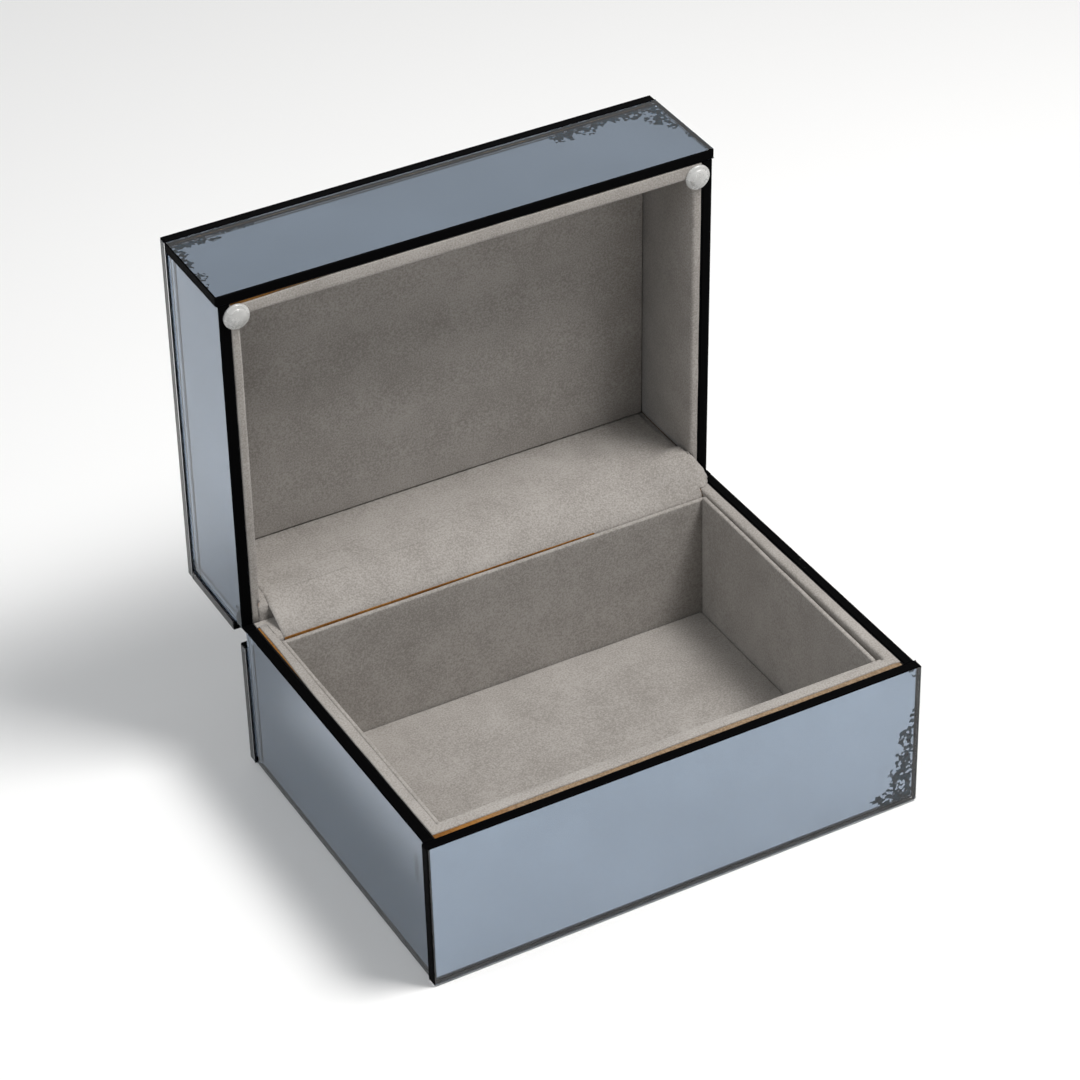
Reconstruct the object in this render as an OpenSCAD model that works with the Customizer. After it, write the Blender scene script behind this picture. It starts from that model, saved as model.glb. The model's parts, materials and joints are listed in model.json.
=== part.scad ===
// Mirrored trinket box: a lined wooden box clad in tinted mirror glass.
// The lid is drawn open on its stop, hinged at the back.
// Millimetres. X is the width, +Y the back, +Z up. The origin is the centre of the underside.

/* [Overall] */
// Width over the front mirror
box_w = 200; // [170:1:230]
// Depth over the front and back mirrors
box_d = 148; // [135:1:175]
// Height of the base, from the table to its rim
base_h = 62; // [50:1:80]
// Height of the lid, from its rim to its top
lid_h = 46; // [38:0.5:60]
// Gap between the two rims when the lid is shut
shut_gap = 2.5; // [2:0.1:3.5]
// Angle at which the cloth strip stops the lid
open_angle = 88.5; // [80:0.5:92]

/* [Mirror glass] */
// Thickness of every mirror
glass_t = 4; // [3:0.5:5]
// Set-back of the side mirrors from the ends of the front and back ones
side_inset = 0.8; // [0.3:0.1:1.5]
// How far the base's back mirror stops below the rim, to clear the hinges
base_hinge_cut = 7.5; // [7.3:0.1:10]
// How far the lid's back mirror stops above the rim
lid_hinge_cut = 6; // [6:0.1:9]
// Ground flat along each glass edge
arris = 0.4; // [0.1:0.1:0.6]
// Radius of the glass corners
glass_corner_r = 1; // [0.5:0.1:2]

/* [Boards] */
// Thickness of the base's side boards
side_board_t = 4.3; // [3.5:0.1:6]
// Thickness of the base's front board
front_board_t = 6.2; // [5:0.1:8]
// Thickness of the base's back board
back_board_t = 8.7; // [6.3:0.1:9.5]
// Thickness of the floor board
floor_board_t = 4; // [3:0.1:10]
// Thickness of the lid's side boards
lid_side_board_t = 3.4; // [3:0.1:5]
// Thickness of the lid's front board
lid_front_board_t = 5.6; // [5:0.1:8]
// Thickness of the lid's back board
lid_back_board_t = 7; // [6.5:0.1:9]
// Thickness of the lid's top board
lid_top_board_t = 4.4; // [3.5:0.1:6]

/* [Lining] */
// Thickness of the suede cloth
cloth_t = 0.5; // [0.3:0.1:0.8]
// Thickness of the felt under the base
felt_t = 0.6; // [0.4:0.1:1.5]
// Thickness of the lid's wall linings
lid_lining_t = 0.6; // [0.4:0.1:1]
// Thickness of a cloth-covered card on the base's walls
card_t = 1.8; // [1.2:0.1:2.5]
// Thickness of the card on the base's front wall
front_card_t = 1.7; // [1.2:0.1:3]
// Thickness of the padded floor card
floor_pad_t = 2.6; // [2:0.1:4]
// Thickness of the lid's top card
lid_top_card_t = 2.1; // [1.5:0.1:3]
// Thickness of the card on the lid's back board
lid_back_card_t = 2.3; // [1.5:0.1:3]
// How far the side and front cards stop below the rim
card_drop = 1; // [0.5:0.1:2]
// How far the back card stops below the rim
back_card_drop = 2.2; // [2:0.1:6]
// Bare board left along the front rim, outside the cloth
bare_front = 2.2; // [0.5:0.1:3]
// Bare board left along the other rims
bare_side = 0.5; // [0.3:0.1:1.5]
// Open joint beside the base's right card at its front end, where the card stands askew
right_gap_front = 1.7; // [0.2:0.1:2]
// Open joint beside the base's right card at its rear end
right_gap_rear = 0.1; // [0.1:0.1:1]

/* [Cloth strip] */
// Left end of the strip, from the middle of the box
strip_left = -87; // [-89:0.5:-80]
// Right end of the strip, from the middle of the box
strip_right = 89.5; // [80:0.5:90]
// Length of strip glued behind the base's back card
strip_tuck = 13; // [8:0.5:20]

/* [Hinges] */
// Distance of each hinge's middle from the middle of the box
hinge_x = 56; // [40:1:70]
// Length of a hinge
hinge_len = 24; // [18:1:30]
// Thickness of a hinge leaf
leaf_t = 0.8; // [0.6:0.1:1]
// Outside radius of the knuckles
knuckle_r = 1.6; // [1.5:0.1:2]
// Radius of a hinge pin
pin_r = 0.8; // [0.7:0.05:1]
// Drop of the hinge axis below the base's rim
axis_drop = 1; // [0.5:0.1:1.2]
// Set-back of the hinge axis from the outer faces of the back boards
axis_inset = 0.6; // [0:0.1:0.8]
// Distance of each screw from the middle of its hinge
screw_x = 7.5; // [5:0.5:8]

/* [Bumpers] */
// Radius of a bumper
bumper_r = 5; // [4:0.1:6]
// Distance of the bumpers from the middle of the box
bumper_x = 92.7; // [90:0.1:94]
// Distance of the bumpers from the lid's front face
bumper_inset = 9.7; // [8:0.1:12]

/* [Hidden] */
$fn = 64;

glass_color = "#8b9aa6";
board_color = "#a0703c";
suede_color = "#bdb8b2";
brass_color = "#b08d4a";
steel_color = "#9a9a9c";
felt_color = "#1d1d20";

// Gap left between two pieces that only face each other
play = 0.1;
// Glue line between two glass plates
glue = 0.1;

felt_inset = 1.5;
floor_z = felt_t;
half_w = box_w / 2;
half_d = box_d / 2;
side_x = half_w - side_inset;
board_x = side_x - glass_t;
board_y = half_d - glass_t;

// Base: inner faces of the boards, and of the cloth over them
base_in_x = board_x - side_board_t;
front_in_y = -board_y + front_board_t;
back_in_y = board_y - back_board_t;
floor_top = floor_z + floor_board_t;
board_rim = base_h - cloth_t;
wrap_in_x = base_in_x - cloth_t;
wrap_in_y = front_in_y + cloth_t;
wrap_depth = 14;
card_front_y = wrap_in_y + front_card_t;
card_back_y = back_in_y - cloth_t - play - card_t;
card_left_x = -wrap_in_x + card_t;
card_right_front_x = wrap_in_x - right_gap_front - card_t;
card_right_rear_x = wrap_in_x - right_gap_rear - card_t;
pad_play = 0.2;
base_rim_bevel = 1.8;

// Lid, as it stands when shut: its rim, inner faces and layers
lid_rim = base_h + shut_gap;
lid_top = lid_rim + lid_h;
lid_board_rim = lid_rim + lid_lining_t;
lid_board_top_z = lid_top - glass_t;
lid_board_under_z = lid_board_top_z - lid_top_board_t;
lid_card_z = lid_board_under_z - lid_top_card_t;
lid_side_in_x = board_x - lid_side_board_t;
lid_front_in_y = -board_y + lid_front_board_t;
lid_back_in_y = board_y - lid_back_board_t;
lid_back_card_y = lid_back_in_y - lid_back_card_t;
lid_back_card_lift = 4.3;
lid_rim_bevel = 1.2;

// Hinge axis: just inside the back boards' outer faces and just below the base's rim
hinge_y = board_y - axis_inset;
hinge_z = base_h - axis_drop;
leaf_clear = 0.5;
base_leaf_low = base_h - base_hinge_cut + leaf_clear;
lid_leaf_high = lid_rim + lid_hinge_cut - leaf_clear;
knuckle_play = 0.2;
knuckle_len = (hinge_len - 2 * knuckle_play) / 3;
press_clear = 0.01;
run_clear = 0.05;
mortise_clear = 0.2;
screw_r = 0.9;
screw_head_r = 1.6;
screw_head_h = 0.7;
screw_len = 4.6;
screw_point = 0.9;
shank_len = screw_len - screw_head_h - screw_point;
screw_hole_len = screw_len + 1.2;
slot_w = 0.4;
slot_depth = 0.3;
base_screw_z = (base_leaf_low + hinge_z - knuckle_r) / 2;
lid_screw_z = (lid_leaf_high + lid_rim) / 2 + 0.1;

// Bumper: a domed button that just clears the base's rim when the lid is shut
bumper_h = shut_gap - play;
bumper_round = 1.4;

// A block given by its low and high corners
module block(low, high) {
    translate(low) cube(high - low);
}

// A rectangle of size [w, h] with round corners
module round_rect(w, h, r) {
    square([w - 2 * r, h], center = true);
    square([w, h - 2 * r], center = true);
    for (x = [-1, 1]) for (y = [-1, 1])
        translate([x * (w / 2 - r), y * (h / 2 - r)]) circle(r);
}

// The section of a plate of width w and thickness t, with its four arrises
module plate_section(w, t) {
    polygon([
        [-w / 2 + arris, 0], [w / 2 - arris, 0], [w / 2, arris], [w / 2, t - arris],
        [w / 2 - arris, t], [-w / 2 + arris, t], [-w / 2, t - arris], [-w / 2, arris]
    ]);
}

// A glass plate of size [w, h] and thickness t, lying flat
module plate(w, h, t) {
    intersection() {
        linear_extrude(t) round_rect(w, h, glass_corner_r);
        translate([0, h / 2, 0]) rotate([90, 0, 0]) linear_extrude(h) plate_section(w, t);
        translate([-w / 2, 0, 0]) rotate([90, 0, 90]) linear_extrude(w) plate_section(h, t);
    }
}

// The front, back, left and right mirrors of a box part that stands from z0 to z1
module front_mirror(z0, z1) {
    translate([0, -half_d, (z0 + z1) / 2]) rotate([90, 0, 0]) mirror([0, 0, 1])
        plate(box_w, z1 - z0, glass_t);
}

module back_mirror(z0, z1) {
    mirror([0, 1, 0]) front_mirror(z0, z1);
}

module right_mirror(z0, z1) {
    translate([board_x, 0, (z0 + z1) / 2]) rotate([90, 0, 90])
        plate(2 * (board_y - glue), z1 - z0, glass_t);
}

module left_mirror(z0, z1) {
    mirror([1, 0, 0]) right_mirror(z0, z1);
}

// Turns what is drawn shut into the open position
module opened() {
    translate([0, hinge_y, hinge_z]) rotate([-open_angle, 0, 0])
        translate([0, -hinge_y, -hinge_z]) children();
}

// Where a point of the shut lid lies when the lid is open
function opened_at(y, z) = [
    hinge_y + (y - hinge_y) * cos(open_angle) + (z - hinge_z) * sin(open_angle),
    hinge_z - (y - hinge_y) * sin(open_angle) + (z - hinge_z) * cos(open_angle)
];

// A bar along X with its section given as [y, z] points
module bar(x0, x1, section) {
    translate([x0, 0, 0]) rotate([90, 0, 90]) linear_extrude(x1 - x0) polygon(section);
}

// An upright slab from z0 to z1 with its plan given as [x, y] points
module slab(z0, z1, plan) {
    translate([0, 0, z0]) linear_extrude(z1 - z0) polygon(plan);
}

// Repeats its children at both hinges
module at_hinges() {
    for (side = [-1, 1]) translate([side * hinge_x, 0, 0]) children();
}

// A round bar along X, centred on the hinge axis
module axis_rod(x0, x1, r) {
    translate([x0, hinge_y, hinge_z]) rotate([0, 90, 0]) cylinder(h = x1 - x0, r = r);
}

// Room in the back boards for the leaves and knuckles, over the heights z0 to z1
module hinge_mortise(z0, z1) {
    at_hinges() {
        block([-hinge_len / 2 - mortise_clear, hinge_y - leaf_t / 2, z0],
              [hinge_len / 2 + mortise_clear, hinge_y + 1, z1]);
        axis_rod(-hinge_len / 2 - mortise_clear, hinge_len / 2 + mortise_clear, knuckle_r + mortise_clear);
    }
}

// Screw holes through a leaf and into its board, at height z
module screw_holes(z, r) {
    at_hinges() for (side = [-1, 1])
        translate([side * screw_x, hinge_y + 1, z]) rotate([90, 0, 0]) cylinder(h = screw_hole_len, r = r);
}

// Countersunk wood screws at height z, heads flush with the leaf
module screws(z) {
    at_hinges() for (side = [-1, 1])
        translate([side * screw_x, hinge_y + leaf_t / 2, z]) rotate([90, 0, 0]) difference() {
            union() {
                cylinder(h = screw_head_h, r1 = screw_head_r, r2 = screw_r);
                translate([0, 0, screw_head_h]) cylinder(h = shank_len, r = screw_r);
                translate([0, 0, screw_head_h + shank_len])
                    cylinder(h = screw_point, r1 = screw_r, r2 = screw_r / 8);
            }
            translate([-screw_head_r, -slot_w / 2, -1]) cube([2 * screw_head_r, slot_w, 1 + slot_depth]);
        }
}

// Countersinks that seat the screw heads in a leaf
module countersinks(z) {
    at_hinges() for (side = [-1, 1])
        translate([side * screw_x, hinge_y + leaf_t / 2, z]) rotate([90, 0, 0])
            cylinder(h = screw_head_h, r1 = screw_head_r, r2 = screw_r);
}

// One knuckle between x0 and x1, bored for the pin
module knuckle(x0, x1, bore_r) {
    difference() {
        axis_rod(x0, x1, knuckle_r);
        axis_rod(x0 - 1, x1 + 1, bore_r);
    }
}

// ---- Base ----

module base_felt() {
    color(felt_color) block([-half_w + felt_inset, -half_d + felt_inset, 0],
                            [half_w - felt_inset, half_d - felt_inset, felt_t]);
}

module base_mirror_front() {
    color(glass_color) front_mirror(floor_z, base_h);
}

module base_mirror_back() {
    color(glass_color) back_mirror(floor_z, base_h - base_hinge_cut);
}

module base_mirror_left() {
    color(glass_color) left_mirror(floor_z, base_h);
}

module base_mirror_right() {
    color(glass_color) right_mirror(floor_z, base_h);
}

module base_board_front() {
    color(board_color) block([-base_in_x, -board_y, floor_z], [base_in_x, front_in_y, board_rim]);
}

// Its inner rim edge is bevelled where the cloth strip passes over it
module base_board_back() {
    color(board_color) difference() {
        bar(-base_in_x, base_in_x, [
            [back_in_y, floor_z], [board_y, floor_z], [board_y, board_rim],
            [back_in_y + base_rim_bevel, board_rim], [back_in_y, board_rim - base_rim_bevel]
        ]);
        hinge_mortise(base_leaf_low - mortise_clear, base_h);
        screw_holes(base_screw_z, screw_r + press_clear);
    }
}

module base_board_left() {
    color(board_color) block([-board_x, -board_y, floor_z], [-base_in_x, board_y, board_rim]);
}

module base_board_right() {
    color(board_color) block([base_in_x, -board_y, floor_z], [board_x, board_y, board_rim]);
}

module base_floor_board() {
    color(board_color) block([-base_in_x, front_in_y, floor_z], [base_in_x, back_in_y, floor_top]);
}

// Cloth turned over the front and side rims and down behind the cards
module base_rim_wrap() {
    color(suede_color) difference() {
        block([-board_x + bare_side, -board_y + bare_front, base_h - wrap_depth],
              [board_x - bare_side, board_y, base_h]);
        block([-board_x, -board_y, base_h - wrap_depth - 1], [-base_in_x, board_y, board_rim]);
        block([base_in_x, -board_y, base_h - wrap_depth - 1], [board_x, board_y, board_rim]);
        block([-board_x, -board_y, base_h - wrap_depth - 1], [board_x, front_in_y, board_rim]);
        block([-wrap_in_x, wrap_in_y, base_h - wrap_depth - 1], [wrap_in_x, board_y + 1, base_h + 1]);
        block([-board_x, back_in_y - cloth_t - play, base_h - wrap_depth - 1],
              [board_x, board_y + 1, board_rim]);
    }
}

module base_card_front() {
    color(suede_color) block([-wrap_in_x, wrap_in_y, floor_top],
                             [wrap_in_x, card_front_y, base_h - card_drop]);
}

module base_card_back() {
    color(suede_color) block([-wrap_in_x, card_back_y, floor_top],
                             [wrap_in_x - play, card_back_y + card_t, base_h - back_card_drop]);
}

module base_card_left() {
    color(suede_color) block([-wrap_in_x, card_front_y, floor_top],
                             [card_left_x, card_back_y, base_h - card_drop]);
}

module base_card_right() {
    color(suede_color) slab(floor_top, base_h - card_drop, [
        [card_right_front_x, card_front_y], [card_right_front_x + card_t, card_front_y],
        [card_right_rear_x + card_t, card_back_y], [card_right_rear_x, card_back_y]
    ]);
}

module base_floor_pad() {
    color(suede_color) slab(floor_top, floor_top + floor_pad_t, [
        [card_left_x + pad_play, card_front_y + pad_play],
        [card_right_front_x - pad_play, card_front_y + pad_play],
        [card_right_rear_x - pad_play, card_back_y - pad_play],
        [card_left_x + pad_play, card_back_y - pad_play]
    ]);
}

module hinge_leaves_base() {
    color(brass_color) difference() {
        at_hinges() {
            difference() {
                union() {
                    block([-hinge_len / 2, hinge_y - leaf_t / 2, base_leaf_low],
                          [hinge_len / 2, hinge_y + leaf_t / 2, hinge_z - knuckle_r - mortise_clear]);
                    for (side = [-1, 1]) translate([side * (knuckle_len + knuckle_play), 0, 0]) {
                        block([-knuckle_len / 2, hinge_y - leaf_t / 2, base_leaf_low],
                              [knuckle_len / 2, hinge_y + leaf_t / 2, hinge_z]);
                        axis_rod(-knuckle_len / 2, knuckle_len / 2, knuckle_r);
                    }
                }
                axis_rod(-hinge_len, hinge_len, pin_r + press_clear);
            }
        }
        countersinks(base_screw_z);
        screw_holes(base_screw_z, screw_r + press_clear);
    }
}

module hinge_pins() {
    color(steel_color) at_hinges() axis_rod(-hinge_len / 2, hinge_len / 2, pin_r);
}

module hinge_screws_base() {
    color(steel_color) screws(base_screw_z);
}

// ---- Lid ----

module lid_mirror_top() {
    color(glass_color) opened() translate([0, 0, lid_board_top_z]) plate(box_w, box_d, glass_t);
}

module lid_mirror_front() {
    color(glass_color) opened() front_mirror(lid_rim, lid_board_top_z - glue);
}

module lid_mirror_back() {
    color(glass_color) opened() back_mirror(lid_rim + lid_hinge_cut, lid_board_top_z - glue);
}

module lid_mirror_left() {
    color(glass_color) opened() left_mirror(lid_rim, lid_board_top_z - glue);
}

module lid_mirror_right() {
    color(glass_color) opened() right_mirror(lid_rim, lid_board_top_z - glue);
}

module lid_board_top() {
    color(board_color) opened() block([-board_x, -board_y, lid_board_under_z],
                                      [board_x, board_y, lid_board_top_z]);
}

module lid_board_front() {
    color(board_color) opened() block([-lid_side_in_x, -board_y, lid_board_rim],
                                      [lid_side_in_x, lid_front_in_y, lid_board_under_z]);
}

// Its inner rim edge is bevelled where the cloth strip passes over it
module lid_board_back() {
    color(board_color) opened() difference() {
        bar(-lid_side_in_x, lid_side_in_x, [
            [lid_back_in_y + lid_rim_bevel, lid_board_rim], [board_y, lid_board_rim],
            [board_y, lid_board_under_z], [lid_back_in_y, lid_board_under_z],
            [lid_back_in_y, lid_board_rim + lid_rim_bevel]
        ]);
        hinge_mortise(lid_rim, lid_leaf_high + mortise_clear);
        screw_holes(lid_screw_z, screw_r + press_clear);
    }
}

module lid_board_left() {
    color(board_color) opened() block([-board_x, -board_y, lid_board_rim],
                                      [-lid_side_in_x, board_y, lid_board_under_z]);
}

module lid_board_right() {
    color(board_color) opened() block([lid_side_in_x, -board_y, lid_board_rim],
                                      [board_x, board_y, lid_board_under_z]);
}

// Cloth on the front board, turned over its rim
module lid_lining_front() {
    color(suede_color) opened() bar(-lid_side_in_x, lid_side_in_x, [
        [-board_y + bare_side, lid_rim], [lid_front_in_y + lid_lining_t, lid_rim],
        [lid_front_in_y + lid_lining_t, lid_board_under_z], [lid_front_in_y, lid_board_under_z],
        [lid_front_in_y, lid_board_rim], [-board_y + bare_side, lid_board_rim]
    ]);
}

// Cloth on the right side board, turned over its rim and split around the front lining
module lid_lining_right() {
    color(suede_color) opened() {
        block([lid_side_in_x, -board_y + bare_side, lid_rim], [board_x - bare_side, board_y, lid_board_rim]);
        block([lid_side_in_x - lid_lining_t, lid_front_in_y + lid_lining_t, lid_rim],
              [lid_side_in_x, lid_back_card_y - cloth_t, lid_board_under_z]);
    }
}

module lid_lining_left() {
    mirror([1, 0, 0]) lid_lining_right();
}

module lid_card_top() {
    color(suede_color) opened()
        block([-lid_side_in_x + lid_lining_t + play, lid_front_in_y + lid_lining_t + play, lid_card_z],
              [lid_side_in_x - lid_lining_t - play, lid_back_card_y - cloth_t - play, lid_board_under_z]);
}

module lid_card_back() {
    color(suede_color) opened()
        block([-lid_side_in_x, lid_back_card_y, lid_rim + lid_back_card_lift],
              [lid_side_in_x, lid_back_in_y, lid_board_under_z]);
}

// Cloth strip: glued over the lid's back card, taut across the hinge line, and tucked behind
// the base's back card. Its section is drawn with the lid open.
module hinge_strip() {
    card_low = lid_rim + lid_back_card_lift;
    tuck_low = base_h - back_card_drop - strip_tuck;
    bevel_low = board_rim - base_rim_bevel + play;
    color(suede_color) bar(strip_left, strip_right, [
        opened_at(lid_back_card_y, lid_board_under_z),
        opened_at(lid_back_card_y, card_low),
        [back_in_y + base_rim_bevel, board_rim + play],
        [back_in_y, bevel_low],
        [back_in_y, tuck_low],
        [back_in_y - cloth_t, tuck_low],
        [back_in_y - cloth_t, bevel_low + 0.4 * cloth_t],
        [back_in_y + base_rim_bevel - 0.4 * cloth_t, board_rim + play + cloth_t],
        opened_at(lid_back_card_y - cloth_t, card_low - cloth_t / 2),
        opened_at(lid_back_card_y - cloth_t, lid_board_under_z)
    ]);
}

module hinge_leaves_lid() {
    color(brass_color) opened() difference() {
        at_hinges() {
            block([-hinge_len / 2, hinge_y - leaf_t / 2, hinge_z + knuckle_r + mortise_clear],
                  [hinge_len / 2, hinge_y + leaf_t / 2, lid_leaf_high]);
            difference() {
                union() {
                    block([-knuckle_len / 2, hinge_y - leaf_t / 2, hinge_z],
                          [knuckle_len / 2, hinge_y + leaf_t / 2, lid_leaf_high]);
                    axis_rod(-knuckle_len / 2, knuckle_len / 2, knuckle_r);
                }
                axis_rod(-hinge_len, hinge_len, pin_r + run_clear);
            }
        }
        countersinks(lid_screw_z);
        screw_holes(lid_screw_z, screw_r + press_clear);
    }
}

module hinge_screws_lid() {
    color(steel_color) opened() screws(lid_screw_z);
}

// A clear domed button on the lid's rim, its flat side to the rim
module bumper(side) {
    color("white", 0.5) opened()
        translate([side * bumper_x, -half_d + bumper_inset, lid_rim]) rotate([180, 0, 0])
            rotate_extrude() union() {
                square([bumper_r, bumper_h - bumper_round]);
                square([bumper_r - bumper_round, bumper_h]);
                intersection() {
                    translate([bumper_r - bumper_round, bumper_h - bumper_round]) circle(bumper_round);
                    square([bumper_r, bumper_h]);
                }
            }
}

module bumper_left() {
    bumper(-1);
}

module bumper_right() {
    bumper(1);
}

base_felt();
base_mirror_front();
base_mirror_back();
base_mirror_left();
base_mirror_right();
base_board_front();
base_board_back();
base_board_left();
base_board_right();
base_floor_board();
base_rim_wrap();
base_card_front();
base_card_back();
base_card_left();
base_card_right();
base_floor_pad();
hinge_leaves_base();
hinge_pins();
hinge_screws_base();
lid_mirror_top();
lid_mirror_front();
lid_mirror_back();
lid_mirror_left();
lid_mirror_right();
lid_board_top();
lid_board_front();
lid_board_back();
lid_board_left();
lid_board_right();
lid_lining_front();
lid_lining_left();
lid_lining_right();
lid_card_top();
lid_card_back();
hinge_strip();
hinge_leaves_lid();
hinge_screws_lid();
bumper_left();
bumper_right();
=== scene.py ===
"""Mirrored trinket box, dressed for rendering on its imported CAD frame. Metres, in the CAD frame."""

import json
import math

import bmesh
import bpy
from mathutils import Matrix, Vector, noise
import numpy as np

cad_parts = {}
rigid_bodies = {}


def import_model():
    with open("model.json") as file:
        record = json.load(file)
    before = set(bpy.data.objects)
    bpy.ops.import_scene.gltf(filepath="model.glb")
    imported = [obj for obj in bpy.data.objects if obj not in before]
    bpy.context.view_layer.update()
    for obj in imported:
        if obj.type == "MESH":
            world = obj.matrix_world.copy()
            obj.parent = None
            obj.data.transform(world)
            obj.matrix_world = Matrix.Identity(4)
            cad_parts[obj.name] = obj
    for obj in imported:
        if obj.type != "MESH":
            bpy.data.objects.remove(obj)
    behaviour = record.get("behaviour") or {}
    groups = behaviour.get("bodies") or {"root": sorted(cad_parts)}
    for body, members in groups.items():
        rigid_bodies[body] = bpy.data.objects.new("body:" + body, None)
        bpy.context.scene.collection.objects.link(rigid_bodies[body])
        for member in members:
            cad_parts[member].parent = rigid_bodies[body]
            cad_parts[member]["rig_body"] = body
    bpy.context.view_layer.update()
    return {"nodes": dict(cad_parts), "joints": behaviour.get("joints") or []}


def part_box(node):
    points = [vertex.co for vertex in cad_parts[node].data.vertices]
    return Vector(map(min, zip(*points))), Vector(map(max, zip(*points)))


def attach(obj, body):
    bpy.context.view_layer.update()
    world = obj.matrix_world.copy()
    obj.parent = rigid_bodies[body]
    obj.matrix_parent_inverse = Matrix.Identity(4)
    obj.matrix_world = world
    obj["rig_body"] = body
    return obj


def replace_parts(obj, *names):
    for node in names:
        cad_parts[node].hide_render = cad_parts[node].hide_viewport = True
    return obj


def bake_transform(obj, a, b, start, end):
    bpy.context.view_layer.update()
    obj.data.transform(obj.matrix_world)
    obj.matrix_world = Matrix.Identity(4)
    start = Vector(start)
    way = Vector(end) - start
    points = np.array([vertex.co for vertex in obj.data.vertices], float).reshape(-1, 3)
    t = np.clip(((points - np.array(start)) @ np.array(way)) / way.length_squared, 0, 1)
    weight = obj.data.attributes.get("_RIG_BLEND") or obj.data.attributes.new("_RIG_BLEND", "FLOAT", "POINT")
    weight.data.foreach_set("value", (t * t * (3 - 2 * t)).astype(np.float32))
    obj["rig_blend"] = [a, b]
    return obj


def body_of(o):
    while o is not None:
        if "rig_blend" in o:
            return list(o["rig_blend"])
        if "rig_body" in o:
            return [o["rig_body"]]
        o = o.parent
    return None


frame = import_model()
scene = bpy.context.scene
MM = 0.001

# ---------------------------------------------------------------- the lid, shut and open
# Lid pieces are built as they stand when the lid is shut, then turned into the open rest pose.

joint = frame["joints"][0]
PIVOT = Vector(joint["pos_m"])
SWING = math.radians(joint["range_deg"][1])
STILL = Matrix.Identity(4)
OPENED = Matrix.Translation(PIVOT) @ Matrix.Rotation(-SWING, 4, "X") @ Matrix.Translation(-PIVOT)


def carrier(node):
    """The body a CAD node rides on."""
    return body_of(frame["nodes"][node])[0]


def pose_of(node):
    """The matrix that takes a node's shut shape to its rest pose."""
    return OPENED if carrier(node) == "lid" else STILL


def shut_box(node):
    """Lowest and highest corner of a node as it stands with the lid shut."""
    back = pose_of(node).inverted()
    co = [back @ v.co for v in frame["nodes"][node].data.vertices]
    return (Vector([min(c[i] for c in co) for i in range(3)]),
            Vector([max(c[i] for c in co) for i in range(3)]))


# ---------------------------------------------------------------- material nodes


class Net:
    """The node tree of a material or world, and short ways to add nodes to it."""

    def __init__(self, owner):
        self.owner = owner
        owner.use_nodes = True
        self.tree = owner.node_tree
        self.tree.nodes.clear()

    def add(self, kind, ins=None, **props):
        n = self.tree.nodes.new("ShaderNode" + kind)
        for k, v in props.items():
            setattr(n, k, v)
        for k, v in (ins or {}).items():
            if isinstance(v, bpy.types.NodeSocket):
                self.tree.links.new(v, n.inputs[k])
            else:
                n.inputs[k].default_value = v
        return n

    def math(self, op, a, b=0.0, clamp=False):
        return self.add("Math", {0: a, 1: b}, operation=op, use_clamp=clamp).outputs[0]

    def ease(self, v, lo, hi, a=0.0, b=1.0):
        n = self.add("MapRange", {"Value": v, "From Min": lo, "From Max": hi, "To Min": a, "To Max": b},
                     interpolation_type="SMOOTHSTEP")
        return n.outputs["Result"]

    def noise(self, where, scale, detail=3.0, rough=0.55, twist=0.0):
        n = self.add("TexNoise", {"Vector": where, "Scale": scale, "Detail": detail,
                                  "Roughness": rough, "Distortion": twist})
        return n.outputs["Fac"]

    def mix(self, f, a, b):
        n = self.add("Mix", data_type="RGBA")
        for i, v in ((0, f), (6, a), (7, b)):
            if isinstance(v, bpy.types.NodeSocket):
                self.tree.links.new(v, n.inputs[i])
            else:
                n.inputs[i].default_value = (*v, 1.0) if i and len(v) == 3 else v
        return n.outputs[2]

    def bump(self, height, strength, distance):
        return self.add("Bump", {"Height": height, "Strength": strength,
                                 "Distance": distance}).outputs["Normal"]

    def spot(self):
        return self.add("TexCoord").outputs["Object"]

    def ellipse(self, u, v, place):
        """Squared distance from a place (u, v, radius along u, radius along v), in its own radii."""
        squares = []
        for at, middle, radius in ((u, place[0], place[2]), (v, place[1], place[3])):
            share = self.math("DIVIDE", self.math("SUBTRACT", at, middle), radius)
            squares.append(self.math("POWER", share, 2.0))
        return self.math("ADD", *squares)

    def surface(self, **ins):
        """Principled shader; a double underscore in a name stands for a space."""
        p = self.add("BsdfPrincipled", {k.replace("__", " "): v for k, v in ins.items()})
        out = self.add("OutputMaterial")
        self.tree.links.new(p.outputs[0], out.inputs["Surface"])
        return self.owner


def suede(name, dark, light):
    n = Net(bpy.data.materials.new(name))
    at = n.spot()
    grain = n.noise(at, 1500, 2.5, 0.6)
    nap = n.noise(at, 70, 4.0, 0.6)
    cloud = n.noise(at, 16, 2.0, 0.5)
    tone = n.math("ADD", n.math("MULTIPLY", grain, 0.62), n.math("MULTIPLY", nap, 0.25))
    tone = n.math("ADD", tone, n.math("MULTIPLY", cloud, 0.13))
    colour = n.mix(n.ease(tone, 0.33, 0.67), dark, light)
    pile = n.noise(at, 2600, 3.0, 0.7)
    height = n.math("ADD", n.math("MULTIPLY", pile, 0.6), n.math("MULTIPLY", nap, 0.4))
    return n.surface(Base__Color=colour, Roughness=n.ease(grain, 0.2, 0.8, 0.88, 0.98),
                     Specular__IOR__Level=0.15, Sheen__Weight=0.25, Sheen__Roughness=0.45,
                     Normal=n.bump(height, 0.35, 0.00025))


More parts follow.
